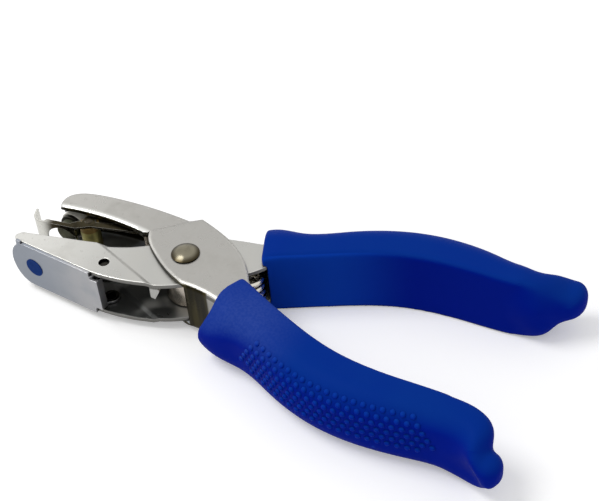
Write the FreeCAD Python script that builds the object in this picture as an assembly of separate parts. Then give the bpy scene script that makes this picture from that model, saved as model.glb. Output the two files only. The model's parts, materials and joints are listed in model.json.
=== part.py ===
import FreeCAD, Part
import math
import os

os.makedirs("parts", exist_ok=True)
V = FreeCAD.Vector
UP = V(0, 0, 1)

# Single-hole paper punch pliers lying on their side, millimetres.
# Origin: on the pivot axis, at the plane the pliers rest on. +X points to the handles,
# +Z up along the pivot rivet. Both levers are drawn about the pivot with the closed die
# face on y = 0 and the middle of the width on z = 0, then turned open and lifted.

# Opening of the levers at rest
punch_lever_open = 4.6      # degrees, clockwise seen from +Z
die_lever_open = 10.5       # degrees, counter-clockwise
closing = punch_lever_open + die_lever_open

# Sheet steel and the width of the head
sheet = 1.2
jaw_half = 7.5              # half the outside width of both jaws
joggle = 0.65               # how far the cheeks step in or out beside the pivot
joggle_ramp = 1.1
cheek_gap = 0.1             # running gap between inner and outer cheeks
bend = 1.0                  # outside radius of the channels' folded edges
die_cheek_out = jaw_half - joggle
die_cheek_in = die_cheek_out - sheet
punch_cheek_in = die_cheek_out + cheek_gap
punch_cheek_out = punch_cheek_in + sheet
jaw_inner = jaw_half - sheet
overrun = 3.0               # how far cutting tools run past what they cut

# Grips and the height of the lying pliers
grip_cover = 2.3            # how far the grips stand out past the jaws' sides
grip_half = jaw_half + grip_cover   # half a grip's thickness, and height of the mid-plane
grip_crown = 0.5            # cut off the lofted grip for a flat resting face
handle_reach = 100.0        # length that the handle tables are shares of
near_handle_turn = 5.6      # degrees, extra outward turn of the punch lever's handle

# Pivot
rivet_radius = 2.5
rivet_fit = 0.05            # radial running clearance in the cheeks
rivet_head_radius = 3.9
rivet_head_rise = 1.45
rivet_tail_radius = 3.3
dome_rim_share = 0.25       # height of a domed head's straight rim, of its rise
sleeve_radius = 6.8
sleeve_play = 0.1           # between the sleeve's ends and the cheeks

# Punch, holder and die
punch_place = 42.0          # pivot axis to punch axis
punch_radius = 3.0
punch_entry = 1.5           # how far the punch passes the die face when closed
collar_low = 1.3            # closed height of the collar's face over the die
collar_thick = 1.1
collar_radius = 3.8
holder_radius = 4.2
holder_play = 0.15          # round the holder where it passes the hood's front
holder_top = 4.8
holder_bore_depth = 1.6
stem_radius = 1.8           # riveted through the hood's web
die_radius = 4.3
die_depth = 2.4
die_fit = 0.06              # radial clearance of punch in die
edge_break = 0.3            # small chamfer on turned parts

# Hood of the punch lever, shares of reach and rise
hood_front = 2.2            # of the table's unit length ahead of the punch's axis
hood_reach = punch_place + hood_front
hood_rise = 12.8
hood_top_shares = [(-1.0, 0.08), (-1.028, 0.27), (-1.022, 0.46), (-0.975, 0.65), (-0.86, 0.81),
                   (-0.67, 0.925), (-0.46, 0.988), (-0.27, 1.0), (-0.14, 0.985)]
hood_low_shares = [(-0.97, 0.085), (-0.72, 0.22), (-0.50, 0.235), (-0.33, 0.19)]
hood_web_start = 1          # the web begins at this point of the hood's curve
crease_a_shares = (-0.20, 0.72)
crease_a_angle = -44.0      # direction of the step's uphill side

# Outer cheeks of the punch lever, shares of their radius
cheek_radius = 14.5
cheek_top_shares = [(-0.25, 0.95), (0.25, 0.80), (0.75, 0.58), (1.12, 0.31), (1.45, -0.07)]
cheek_low_shares = [(-0.99, 0.24), (-0.85, 0.0), (-0.62, -0.19), (-0.12, -0.50), (0.42, -0.70)]

# Jaw of the die lever, shares of reach and depth
jaw_front = 8.0             # ahead of the punch's axis
jaw_reach = punch_place + jaw_front
jaw_depth = 12.4
nose_shares = [(-0.945, -0.30), (-0.985, -0.235), (-1.0, -0.15), (-0.99, -0.06), (-0.95, 0.0)]
die_back_shares = [(-0.58, 0.0), (-0.46, 0.024), (-0.36, 0.088), (-0.232, 0.27), (-0.10, 0.57),
                   (0.05, 0.745), (0.20, 0.785)]
jaw_low_shares = [(-0.16, -1.0), (-0.36, -0.985), (-0.472, -0.905)]
heel_shares = [(0.45, 0.06), (0.385, -0.18), (0.27, -0.43), (0.13, -0.68), (0.03, -0.85),
               (-0.16, -1.0)]
crease_b_shares = (-0.258, -0.637)
crease_b_angle = 56.9

# Tangs inside the grips, shares of the handle reach, outward positive
tang_out_shares = [(0.20, 0.097), (0.30, 0.122), (0.40, 0.150), (0.50, 0.171),
                   (0.59, 0.178), (0.69, 0.168), (0.78, 0.145), (0.84, 0.127)]
tang_in_shares = [(0.84, 0.082), (0.78, 0.092), (0.69, 0.108), (0.59, 0.113),
                  (0.50, 0.105), (0.40, 0.082), (0.30, 0.053), (0.24, 0.030)]

# Grip sections: inner x, inner y, outer x and outer y as shares of the handle reach, half
# height as a share of grip_half, and the inner and outer corners as shares of the width
far_grip_shares = [
    (0.222, 0.006, 0.190, 0.176, 0.97, 0.09, 0.56), (0.245, 0.014, 0.220, 0.178, 1.0, 0.09, 0.56),
    (0.300, 0.030, 0.285, 0.166, 1.0, 0.10, 0.56), (0.420, 0.062, 0.415, 0.196, 1.0, 0.10, 0.56),
    (0.560, 0.087, 0.565, 0.228, 1.0, 0.10, 0.56), (0.690, 0.082, 0.700, 0.220, 1.0, 0.10, 0.56),
    (0.800, 0.062, 0.820, 0.180, 0.985, 0.11, 0.56), (0.875, 0.048, 0.895, 0.149, 0.97, 0.15, 0.56),
    (0.920, 0.050, 0.940, 0.151, 0.955, 0.20, 0.56), (0.950, 0.065, 0.965, 0.156, 0.90, 0.27, 0.56),
    (0.977, 0.083, 0.987, 0.161, 0.78, 0.36, 0.55), (1.002, 0.087, 1.008, 0.167, 0.59, 0.44, 0.53),
    (1.024, 0.082, 1.028, 0.169, 0.454, 0.47, 0.50)]
near_grip_shares = [
    (0.208, 0.000, 0.160, 0.160, 0.97, 0.09, 0.56), (0.235, 0.009, 0.200, 0.168, 1.0, 0.09, 0.56),
    (0.300, 0.029, 0.285, 0.163, 1.0, 0.10, 0.56), (0.420, 0.061, 0.415, 0.191, 1.0, 0.10, 0.56),
    (0.560, 0.084, 0.565, 0.214, 1.0, 0.10, 0.56), (0.690, 0.080, 0.700, 0.198, 1.0, 0.10, 0.56),
    (0.800, 0.062, 0.820, 0.163, 0.985, 0.11, 0.56), (0.875, 0.050, 0.895, 0.144, 0.97, 0.15, 0.56),
    (0.920, 0.053, 0.940, 0.147, 0.955, 0.20, 0.56), (0.950, 0.067, 0.965, 0.155, 0.90, 0.27, 0.56),
    (0.977, 0.086, 0.987, 0.163, 0.78, 0.36, 0.55), (1.000, 0.093, 1.004, 0.171, 0.59, 0.44, 0.53),
    (1.018, 0.091, 1.021, 0.173, 0.44, 0.47, 0.50)]
grip_steps = 2              # sections lofted per row of a table
grip_rim_round = 0.8        # soft edge of the collar
cap_angles = [22, 44, 62, 76, 85]   # degrees round the soft edge of an end

# Return spring: a close coil between the handles with a leg along each
wire_share = 0.2133         # of the jaws' half width
wire = wire_share * jaw_half
coil_radius = 3.8           # to the middle of the wire
coil_side_gap = 0.28        # between the coil's ends and the die lever's cheeks
coil_turns = 4              # whole turns, besides what the legs' directions add
coil_ease_share = 0.15      # part of a turn in which each end levels out
coil_place = 17.4           # along the die lever
coil_offset = -0.9          # across the die lever
leg_bend = 4.0
near_lead = 6.0             # straight stretch before a leg bends
far_lead = 4.0
leg_length = 14.0
coil_samples = 400          # points of the coil for its gap to itself
arcs_per_turn = 4
near_leg_angle = -62.0      # degrees from +X where the leg leaves the coil
near_run_angle = -28.0      # and along the handle
far_leg_angle = 42.0
far_run_angle = 30.0

# Stripper, drawn in its closed place over the die
strip = 0.6
strip_side_gap = 0.3        # between the rails and the hood's cheeks
strip_half = jaw_inner - strip_side_gap
strip_lift = 0.25           # over the die face when closed
strip_swing = 11.0          # degrees between closed and rest
strip_front = 6.2           # from the punch's axis to where the tip starts to curl
strip_rear = 4.6            # and back to the rear end of the plate
strip_nose = punch_place + strip_front
strip_back = punch_place - strip_rear
strip_root_share = 0.352
strip_root_x = strip_root_share * strip_nose
strip_root_y = 5.0
strip_hole_play = 1.8
strip_curl = 3.2
strip_curl_sweep = 78.0
strip_tip = 2.2             # straight end of the curl
rail_low_shares = [(-0.99, 0.05), (-0.77, 0.05), (-0.685, 0.42), (-0.352, 0.72)]
rail_top_shares = [(-0.352, 1.2), (-0.64, 0.88), (-0.78, 0.66), (-0.82, 0.34), (-0.97, 0.34)]
root_pin_radius = 1.2
root_eye = 1.0              # metal round the root pin
pin_fit = 0.05
pin_seat = 0.8              # depth of the hinge pin's seats in the hood's cheeks
spacer_behind = 7.35        # behind the punch's axis
spacer_x = punch_place - spacer_behind
spacer_y = 4.0
spacer_radius = 2.8
spacer_pin_radius = 1.0
spacer_play = 0.1

# Chip door over the die jaw
door_sheet = 0.8
door_gap = 0.12
door_hinge_share = 0.505    # of the punch's place
door_hinge_x = door_hinge_share * punch_place
door_hinge_y = 7.0
door_pin_radius = 1.5
door_side_play = 0.2
door_nose_start = 1.5       # the rounded end starts this far before the jaw's own nose
door_nose_length = 5.8
door_back = 2.45            # narrow rear part, between the cheeks
door_waist_half = 5.3       # half width of the narrow part
door_lip = 2.4
door_ear_radius = 2.3
door_ear_length = 3.4
door_pin_top = 0.75         # how far the pins stay below the cheeks' outer faces
mark_radius = 2.85
mark_thick = 0.15
mark_place = 8.0            # from the door's rounded tip to the mark's middle
catch_wide = 1.4
catch_rise = 0.7

# Opening stop, a tab folded from the upper cheek's edge
tab_wide = 2.6
tab_drop = 5.0
tab_place = 6.6
tab_line_share = 0.955
tab_shares = [(0.0, 0.0), (1.0, 0.0), (1.0, 0.45), (0.45, 1.0), (0.0, 0.9)]


def table(shares, length, depth):
    """Plan points from shares of a length and of a depth."""
    return [V(a * length, b * depth, 0) for a, b in shares]


def turned(point, degrees):
    """A plan point turned about the pivot axis."""
    return FreeCAD.Rotation(UP, degrees).multVec(point)


def flat_direction(degrees):
    return V(math.cos(math.radians(degrees)), math.sin(math.radians(degrees)), 0)


def curve(points):
    """A smooth edge through points."""
    spline = Part.BSplineCurve()
    spline.interpolate(points)
    return spline.toShape()


def line(start, end):
    return Part.LineSegment(start, end).toShape()


def prism(edges, low, high):
    """A plan outline raised from one height to another."""
    face = Part.Face(Part.Wire(Part.__sortEdges__(edges)))
    face.translate(V(0, 0, low))
    return face.extrude(V(0, 0, high - low))


def shifted(points, distance):
    """Points moved across their own curve, to the left of its run."""
    moved = []
    last = len(points) - 1
    for i, point in enumerate(points):
        run = points[min(i + 1, last)] - points[max(i - 1, 0)]
        run.normalize()
        moved.append(point + V(-run.y, run.x, 0) * distance)
    return moved


def web(points, side, half):
    """Space of a folded web: a sheet deep on one side of a curve, open on the other."""
    inner = shifted(points, side * sheet)
    outer = shifted(points, -side * overrun)
    edges = [curve(outer), line(outer[-1], inner[-1]), curve(inner), line(inner[0], outer[0])]
    return prism(edges, -half, half)


def envelope(place, angle, half_a, half_b, reach):
    """Space between two pressed cheeks that step from one half width to another."""
    ramp = joggle_ramp / 2
    profile = [(-reach, half_a), (-ramp, half_a), (ramp, half_b), (reach, half_b)]
    corners = [V(u, 0, w) for u, w in profile]
    corners += [V(u, 0, -w) for u, w in reversed(profile)]
    face = Part.Face(Part.makePolygon(corners + corners[:1]))
    face.translate(V(0, -reach, 0))
    body = face.extrude(V(0, 2 * reach, 0))
    body.rotate(V(0, 0, 0), UP, angle)
    body.translate(place)
    return body


def cylinder(radius, start, end):
    """A round bar between two points."""
    axis = end - start
    return Part.makeCylinder(radius, axis.Length, start, axis)


def along_y(x, low, high):
    """Ends of a bar across the jaws, ahead of the pivot."""
    return V(-x, low, 0), V(-x, high, 0)


def ring(outer, inner, start, end):
    return cylinder(outer, start, end).cut(cylinder(inner, start, end))


def place(shape, body):
    """Turn a lever's piece open and lift it to the resting height."""
    shape = shape.copy()
    if body == "punch":
        shape.rotate(V(0, 0, 0), UP, -punch_lever_open)
    if body == "die":
        shape.rotate(V(0, 0, 0), UP, die_lever_open)
    shape.translate(V(0, 0, grip_half))
    return shape


def save(name, shape, body):
    shape = place(shape, body)
    shape.exportStep("parts/" + name + ".step")
    box = shape.BoundBox
    print("%-20s solids %d valid %s volume %8.1f  x %.1f..%.1f y %.1f..%.1f z %.2f..%.2f" % (
        name, len(shape.Solids), shape.isValid(), shape.Volume,
        box.XMin, box.XMax, box.YMin, box.YMax, box.ZMin, box.ZMax))


def handle_points(shares, side):
    """Points of a handle table: side 1 is the die lever's, -1 the punch lever's."""
    points = [V(a * handle_reach, side * b * handle_reach, 0) for a, b in shares]
    return [turned(p, -near_handle_turn) for p in points] if side < 0 else points


# Outlines of the two levers

def die_outline():
    """Plan outline of the die lever and the outer curve of its web."""
    nose = table(nose_shares, jaw_reach, jaw_depth)
    back = table(die_back_shares, jaw_reach, jaw_depth)
    low = table(jaw_low_shares, jaw_reach, jaw_depth)
    heel = table(heel_shares, jaw_reach, jaw_depth)
    tang_out = handle_points(tang_out_shares, 1)
    tang_in = handle_points(tang_in_shares, 1)
    rear = back[:-1] + [(back[-1] + tang_out[0]) / 2] + tang_out
    edges = [curve(nose), line(nose[-1], back[0]), curve(rear), line(rear[-1], tang_in[0]),
             curve(tang_in + heel[:1]), curve(heel), curve(low), line(low[-1], nose[0])]
    return edges, nose, rear, low


def punch_outline():
    """Plan outline of the punch lever, and its hood and handle web curves."""
    hood = table(hood_top_shares, hood_reach, hood_rise)
    low = table(hood_low_shares, hood_reach, hood_rise)
    top = table(cheek_top_shares, cheek_radius, cheek_radius)
    under = table(cheek_low_shares, cheek_radius, cheek_radius)
    tang_out = handle_points(tang_out_shares, -1)
    tang_in = handle_points(tang_in_shares[:-1], -1)
    outer = [under[-1]] + tang_out
    edges = [curve(hood), line(hood[-1], top[0]), curve(top), line(top[-1], tang_in[-1]),
             curve(tang_in), line(tang_in[0], outer[-1]), curve(outer), curve(under),
             line(under[0], low[-1]), curve(low), line(low[0], hood[0])]
    return edges, hood, outer


def is_fold(edge, guides):
    """True for a long outer edge along a web, between a web and a cheek."""
    middle = edge.valueAt((edge.FirstParameter + edge.LastParameter) / 2)
    rise = abs(edge.Vertexes[0].Z - edge.Vertexes[-1].Z)
    flat = Part.Vertex(V(middle.x, middle.y, 0))
    near = any(guide.distToShape(flat)[0] < cheek_gap / 2 for guide in guides)
    return near and rise < joggle / 2 and abs(middle.z) > joggle and edge.Length > 2 * jaw_half


def lever(edges, webs, rounded, centre, angle, half_a, half_b):
    """A channel of pressed sheet: two cheeks inside an outline, joined by folded webs."""
    reach = 2 * handle_reach
    tall = half_a + half_b
    outside = envelope(centre, angle, half_a, half_b, reach)
    inside = envelope(centre, angle, half_a - sheet, half_b - sheet, reach)
    block = prism(edges, -tall, tall).common(outside)
    guides = [curve(points) for points in rounded]
    block = block.makeFillet(bend, [e for e in block.Edges if is_fold(e, guides)])
    shape = block.cut(inside)
    for points, side in webs:
        shape = shape.fuse(web(points, side, tall).common(block))
    return shape.removeSplitter()


edges_b, nose_b, rear_b, low_b = die_outline()
edges_a, hood_a, outer_a = punch_outline()

crease_b = V(crease_b_shares[0] * jaw_reach, crease_b_shares[1] * jaw_depth, 0)
crease_a = V(crease_a_shares[0] * hood_reach, crease_a_shares[1] * hood_rise, 0)


def die_lever():
    face = [nose_b[-1], rear_b[0] + V(sheet, 0, 0)]
    webs = [(nose_b[2:], -1), (face, -1), (rear_b, -1)]
    shape = lever(edges_b, webs, [rear_b], crease_b, crease_b_angle, jaw_half, die_cheek_out)
    tab = [V(u * tab_wide, 0, -w * tab_drop) for u, w in tab_shares]
    tab = Part.Face(Part.makePolygon(tab + tab[:1])).extrude(V(0, sheet, 0))
    tab.translate(V(-tab_place, -jaw_depth * tab_line_share, die_cheek_out - sheet / 2))
    shape = shape.fuse(tab)
    span = V(0, 0, jaw_half + overrun)
    hole = rivet_radius + rivet_fit
    shape = shape.cut(cylinder(hole, -span, span))
    hinge = V(-door_hinge_x, -door_hinge_y, 0)
    shape = shape.cut(cylinder(door_pin_radius + pin_fit, hinge - span, hinge + span))
    axis = V(-punch_place, 0, 0)
    shape = shape.cut(cylinder(die_radius, axis - V(0, die_depth, 0), axis + V(0, overrun, 0)))
    return shape.removeSplitter()


def punch_lever():
    webs = [(hood_a[hood_web_start:], -1), (outer_a, 1)]
    shape = lever(edges_a, webs, [hood_a, outer_a], crease_a, crease_a_angle,
                  jaw_half, punch_cheek_out)
    span = V(0, 0, punch_cheek_out + overrun)
    shape = shape.cut(cylinder(rivet_radius + rivet_fit, -span, span))
    root = V(-strip_root_x, strip_root_y, 0)
    seat = V(0, 0, jaw_inner + pin_seat)
    shape = shape.cut(cylinder(root_pin_radius, root - seat, root + seat))
    shape = shape.cut(cylinder(stem_radius, *along_y(punch_place, holder_top, holder_top + hood_rise)))
    shape = shape.cut(cylinder(holder_radius + holder_play, *along_y(punch_place, 0, holder_top)))
    return shape.removeSplitter()


# Pivot

def dome(radius, rise, base, direction):
    """A low domed rivet head on a straight rim."""
    rim = rise * dome_rim_share
    ball = (radius ** 2 + (rise - rim) ** 2) / (2 * (rise - rim))
    half = math.asin(radius / ball) / 2
    middle = V(ball * math.sin(half), 0, rise - ball * (1 - math.cos(half)))
    edges = [line(V(0, 0, 0), V(0, 0, rise)), Part.Arc(V(0, 0, rise), middle, V(radius, 0, rim)).toShape(),
             line(V(radius, 0, rim), V(radius, 0, 0)), line(V(radius, 0, 0), V(0, 0, 0))]
    shape = Part.Face(Part.Wire(edges)).revolve(V(0, 0, 0), UP, 360)
    if direction < 0:
        shape.rotate(V(0, 0, 0), V(1, 0, 0), 180)
    shape.translate(base)
    return shape


def pivot_rivet():
    top = V(0, 0, punch_cheek_out)
    shape = cylinder(rivet_radius, -top, top)
    shape = shape.fuse(dome(rivet_head_radius, rivet_head_rise, top, 1))
    tail = cylinder(rivet_tail_radius, V(0, 0, -grip_half), -top)
    rim = [e for e in tail.Edges if abs(e.BoundBox.ZMax + grip_half) < edge_break
           and e.Curve.TypeId == "Part::GeomCircle"]
    return shape.fuse(tail.makeChamfer(edge_break, rim)).removeSplitter()


def pivot_sleeve():
    end = V(0, 0, die_cheek_in - sleeve_play)
    shape = ring(sleeve_radius, rivet_radius + rivet_fit, -end, end)
    rims = [e for e in shape.Edges if e.Curve.TypeId == "Part::GeomCircle"
            and e.Curve.Radius > sleeve_radius / 2]
    return shape.makeChamfer(edge_break, rims)


# Punch, its holder and the die

def punch_parts():
    collar_top = collar_low + collar_thick
    punch = cylinder(punch_radius, *along_y(punch_place, -punch_entry, collar_top + holder_bore_depth))
    collar = ring(collar_radius, punch_radius, *along_y(punch_place, collar_low, collar_top))
    holder = cylinder(holder_radius, *along_y(punch_place, collar_top, holder_top))
    holder = holder.cut(cylinder(punch_radius, *along_y(punch_place, 0, collar_top + holder_bore_depth)))
    stem = cylinder(stem_radius, *along_y(punch_place, holder_top, hood_rise))
    stem = stem.common(prism(edges_a, -jaw_half, jaw_half))
    save("punch", punch, "punch")
    save("punch_collar", collar, "punch")
    save("punch_holder", holder.fuse(stem).removeSplitter(), "punch")
    die = ring(die_radius, punch_radius + die_fit, *along_y(punch_place, -die_depth, 0))
    save("die_bush", die, "die")


# Stripper: sprung plate round the punch, rails back to a pin across the hood

def stripper_parts():
    curl_centre = V(-strip_nose, strip_lift + strip_curl, 0)

    def curl_point(radius, degrees):
        a = math.radians(-90 - degrees)
        return curl_centre + V(radius * math.cos(a), radius * math.sin(a), 0)

    inner = strip_curl - strip
    half_sweep = strip_curl_sweep / 2
    low, high = V(-strip_back, strip_lift, 0), V(-strip_back, strip_lift + strip, 0)
    outer_end, inner_end = (curl_point(r, strip_curl_sweep) for r in (strip_curl, inner))
    tip = flat_direction(180 - strip_curl_sweep) * strip_tip
    edges = [line(low, curl_point(strip_curl, 0)),
             Part.Arc(curl_point(strip_curl, 0), curl_point(strip_curl, half_sweep), outer_end).toShape(),
             line(outer_end, outer_end + tip), line(outer_end + tip, inner_end + tip),
             line(inner_end + tip, inner_end),
             Part.Arc(curl_point(inner, strip_curl_sweep), curl_point(inner, half_sweep),
                      curl_point(inner, 0)).toShape(),
             line(curl_point(inner, 0), high), line(high, low)]
    shape = prism(edges, -strip_half, strip_half)
    rail = table(rail_low_shares + rail_top_shares, strip_nose, strip_root_y)
    rail = Part.Face(Part.makePolygon(rail + rail[:1])).extrude(V(0, 0, strip))
    root = V(-strip_root_x, strip_root_y, 0)
    spacer = V(-spacer_x, spacer_y, 0)
    eye = root_pin_radius + root_eye
    across = V(0, 0, strip)
    rail = rail.fuse(cylinder(eye, root, root + across))
    rail = rail.fuse(cylinder(spacer_pin_radius + root_eye, spacer, spacer + across))
    for level in (strip_half - strip, -strip_half):
        side = rail.copy()
        side.translate(V(0, 0, level))
        shape = shape.fuse(side)
    span = V(0, 0, jaw_half + overrun)
    shape = shape.cut(cylinder(root_pin_radius + pin_fit, root - span, root + span))
    shape = shape.cut(cylinder(spacer_pin_radius, spacer - span, spacer + span))
    hole = punch_radius + strip_hole_play
    shape = shape.cut(cylinder(hole, *along_y(punch_place, -overrun, strip_lift + 2 * strip)))
    shape = shape.removeSplitter()
    tube_end = V(0, 0, strip_half - strip - spacer_play)
    tube = ring(spacer_radius, spacer_pin_radius, spacer - tube_end, spacer + tube_end)
    pin_end = V(0, 0, (strip_half + jaw_inner) / 2)
    pin = cylinder(spacer_pin_radius, spacer - pin_end, spacer + pin_end)
    for name, piece in (("stripper_plate", shape), ("stripper_spacer", tube),
                        ("stripper_spacer_pin", pin)):
        piece.rotate(root, UP, strip_swing)
        save(name, piece, "punch")
    seat = V(0, 0, jaw_inner + pin_seat)
    save("stripper_hinge_pin", cylinder(root_pin_radius, root - seat, root + seat), "punch")


# Chip door: rounded cover over the die jaw, hinged on two pins in the cheeks

def door_parts():
    rear = low_b[-1]
    ahead = nose_b[0] - rear
    angle = math.degrees(math.atan2(ahead.y, ahead.x))
    length = ahead.Length
    hinge = FreeCAD.Rotation(UP, -angle).multVec(V(-door_hinge_x, -door_hinge_y, 0) - rear)
    side = jaw_inner - door_side_play
    nose_at = length - door_nose_start
    tip = nose_at + door_nose_length
    outer = door_gap + door_sheet

    def upright(points):
        """Outline in the door's length and height, raised by its sheet."""
        return [V(s, door_gap, w) for s, w in points]

    a, b, c, d = upright([(door_gap, jaw_half), (nose_at, jaw_half), (nose_at, -jaw_half),
                          (door_gap, -jaw_half)])
    ends = [V(tip, door_gap, 0), V(nose_at, door_gap, jaw_half)]
    if door_nose_length < jaw_half:
        ends.reverse()
    bow = Part.Ellipse(*ends, V(nose_at, door_gap, 0))
    round_end = Part.Face(Part.Wire([bow.toShape()])).extrude(V(0, door_sheet, 0))
    front = Part.Face(Part.makePolygon([a, b, c, d, a])).extrude(V(0, door_sheet, 0))
    shape = front.fuse(round_end)
    waist = door_waist_half
    narrow = Part.makeBox(door_back + length / 2, door_sheet, 2 * waist, V(-door_back, door_gap, -waist))
    lip = Part.makeBox(door_sheet, door_lip, 2 * waist, V(-door_back, outer - door_lip, -waist))
    shape = shape.fuse([narrow, lip])
    catch = Part.makeBox(catch_wide, door_sheet, jaw_half + catch_rise,
                         V(nose_at + catch_wide, door_gap, 0))
    shape = shape.fuse(catch)
    for low in (side - door_sheet, -side):
        base = [V(door_gap, outer, low), V(door_ear_length, outer, low),
                V(hinge.x + door_ear_radius, hinge.y, low), V(hinge.x - door_ear_radius, hinge.y, low)]
        ear = Part.Face(Part.makePolygon(base + base[:1])).extrude(V(0, 0, door_sheet))
        centre = V(hinge.x, hinge.y, low)
        ear = ear.fuse(cylinder(door_ear_radius, centre, centre + V(0, 0, door_sheet)))
        shape = shape.fuse(ear)
    span = V(0, 0, jaw_half + overrun)
    shape = shape.cut(cylinder(door_pin_radius, hinge - span, hinge + span)).removeSplitter()
    mark_at = V(tip - mark_place, outer, 0)
    mark = cylinder(mark_radius, mark_at, mark_at + V(0, mark_thick, 0))
    pins = []
    for way in (1, -1):
        low = hinge + V(0, 0, way * (side - door_sheet))
        high = hinge + V(0, 0, way * (jaw_half - door_pin_top))
        pin = cylinder(door_pin_radius, low, high)
        rims = [e for e in pin.Edges if abs(e.BoundBox.ZMax - high.z) < edge_break
                and abs(e.BoundBox.ZMin - high.z) < edge_break]
        pins.append(pin.makeChamfer(edge_break, rims))
    for name, piece in (("chip_door", shape), ("door_pins", Part.makeCompound(pins)),
                        ("size_mark", mark)):
        piece.rotate(V(0, 0, 0), UP, angle)
        piece.translate(rear)
        save(name, piece, "die")


# Return spring: one wire on arcs, leg, coil, leg

def arc_mid(start, tangent, end):
    """Middle of the arc that leaves start along a tangent and ends at a point."""
    chord = end - start
    length = chord.Length
    chord.normalize()
    middle = tangent + chord
    middle.normalize()
    return start + middle * (length / (2 * middle.dot(chord)))


def biarc(start, tangent, end, end_tangent):
    """Two arcs that join two points and keep both tangents."""
    across = end - start
    both = tangent + end_tangent
    a = 2 * (1 - tangent.dot(end_tangent))
    b = across.dot(both)
    d = (-b + math.sqrt(b * b + a * across.dot(across))) / a
    joint = (start + end + (tangent - end_tangent) * d) / 2
    return [Part.Arc(start, arc_mid(start, tangent, joint), joint),
            Part.Arc(end, arc_mid(end, end_tangent * -1, joint), joint)]


def leg(start, out_angle, run_angle, lead):
    """Straight lead, bend and straight run of one leg, from the coil outwards."""
    way = 1 if run_angle > out_angle else -1
    bend_start = start + flat_direction(out_angle) * lead
    centre = bend_start + flat_direction(out_angle + way * 90) * leg_bend
    middle = centre - flat_direction((out_angle + run_angle) / 2 + way * 90) * leg_bend
    bend_end = centre - flat_direction(run_angle + way * 90) * leg_bend
    tip = bend_end + flat_direction(run_angle) * leg_length
    return [Part.LineSegment(start, bend_start), Part.Arc(bend_start, middle, bend_end),
            Part.LineSegment(bend_end, tip)], tip


def return_spring():
    first = near_leg_angle - 90
    sweep = (first - (far_leg_angle + 90)) % 360 + coil_turns * 360
    turns = sweep / 360
    rise = 2 * (die_cheek_in - coil_side_gap) - wire
    coil_pitch = rise / (turns - coil_ease_share)
    centre = turned(V(coil_place, coil_offset, 0), die_lever_open)

    def at(turn):
        """Point and tangent of the coil, its ends levelled out."""
        ease = coil_ease_share
        if turn < ease:
            height, slope = turn * turn / (2 * ease), turn / ease
        elif turn > turns - ease:
            left = turns - turn
            height, slope = turns - ease - left * left / (2 * ease), left / ease
        else:
            height, slope = turn - ease / 2, 1.0
        angle = first - turn * 360
        point = centre + flat_direction(angle) * coil_radius
        point.z = coil_pitch * height - rise / 2
        tangent = flat_direction(angle - 90) * (2 * math.pi * coil_radius)
        tangent.z = coil_pitch * slope
        tangent.normalize()
        return point, tangent

    marks = [0.0, coil_ease_share]
    steps = math.ceil((turns - 2 * coil_ease_share) * arcs_per_turn)
    for i in range(steps):
        marks.append(coil_ease_share + (turns - 2 * coil_ease_share) * (i + 1) / steps)
    marks.append(turns)
    coil = []
    for one, two in zip(marks[:-1], marks[1:]):
        coil += biarc(*at(one), *at(two))
    near, near_tip = leg(at(0.0)[0], near_leg_angle, near_run_angle, near_lead)
    far, far_tip = leg(at(turns)[0], far_leg_angle, far_run_angle, far_lead)
    edges = [piece.toShape() for piece in near[::-1] + coil + far]
    path = Part.Wire(Part.__sortEdges__(edges))
    profile = Part.Wire(Part.Circle(near_tip, flat_direction(near_run_angle), wire / 2).toShape())
    shape = path.makePipeShell([profile], True, False)
    points = [at(turns * i / coil_samples)[0] for i in range(coil_samples + 1)]
    apart = math.ceil(coil_samples / turns / 2)
    least = min((a - b).Length for i, a in enumerate(points) for b in points[i + apart:])
    print("return_spring least gap to itself %.2f, volume over section times length %.4f" % (
        least - wire, shape.Volume / (path.Length * math.pi * wire * wire / 4)))
    return shape


# Grips: D-shaped sleeves lofted along the handles

def rounded_section(inner, outer, half_height, small, large, inset=0.0):
    """D section in an upright plane: small corners inside, large ones outside."""
    across = V(outer.x - inner.x, outer.y - inner.y, 0)
    width = across.Length - 2 * inset
    across.normalize()
    base = V(inner.x, inner.y, 0) + across * inset
    top, low = half_height - inset, inset - half_height
    sagitta = 1 - math.sqrt(2) / 2

    def at(w, z):
        return base + across * w + V(0, 0, z)

    def corner(radius, w, side_w, z, side_z):
        """Quarter arc at a corner, from the upright side to the level one."""
        upright = at(w, z - side_z * radius)
        middle = at(w - side_w * radius * sagitta, z - side_z * radius * sagitta)
        level = at(w - side_w * radius, z)
        return upright, middle, level

    inner_top = corner(small - inset, 0, -1, top, 1)
    outer_top = corner(large - inset, width, 1, top, 1)
    outer_low = corner(large - inset, width, 1, low, -1)
    inner_low = corner(small - inset, 0, -1, low, -1)
    edges = [line(inner_low[0], inner_top[0]), Part.Arc(*inner_top).toShape(),
             line(inner_top[2], outer_top[2]), Part.Arc(*reversed(outer_top)).toShape(),
             line(outer_top[0], outer_low[0]), Part.Arc(*outer_low).toShape(),
             line(outer_low[2], inner_low[2]), Part.Arc(*reversed(inner_low)).toShape()]
    return Part.Wire(edges)


def end_cap(section, radius, way):
    """Soft end beyond a section: the same outline, drawn in round a quarter circle."""
    inner, outer, half_height, small, large = section
    across = outer - inner
    ahead = V(across.y, -across.x, 0) * way
    ahead.normalize()
    wires = [rounded_section(*section)]
    for angle in cap_angles:
        step = ahead * (radius * math.sin(math.radians(angle)))
        inset = radius * (1 - math.cos(math.radians(angle)))
        wires.append(rounded_section(inner + step, outer + step, half_height, small, large, inset))
    return Part.makeLoft(wires, True, False)


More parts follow.
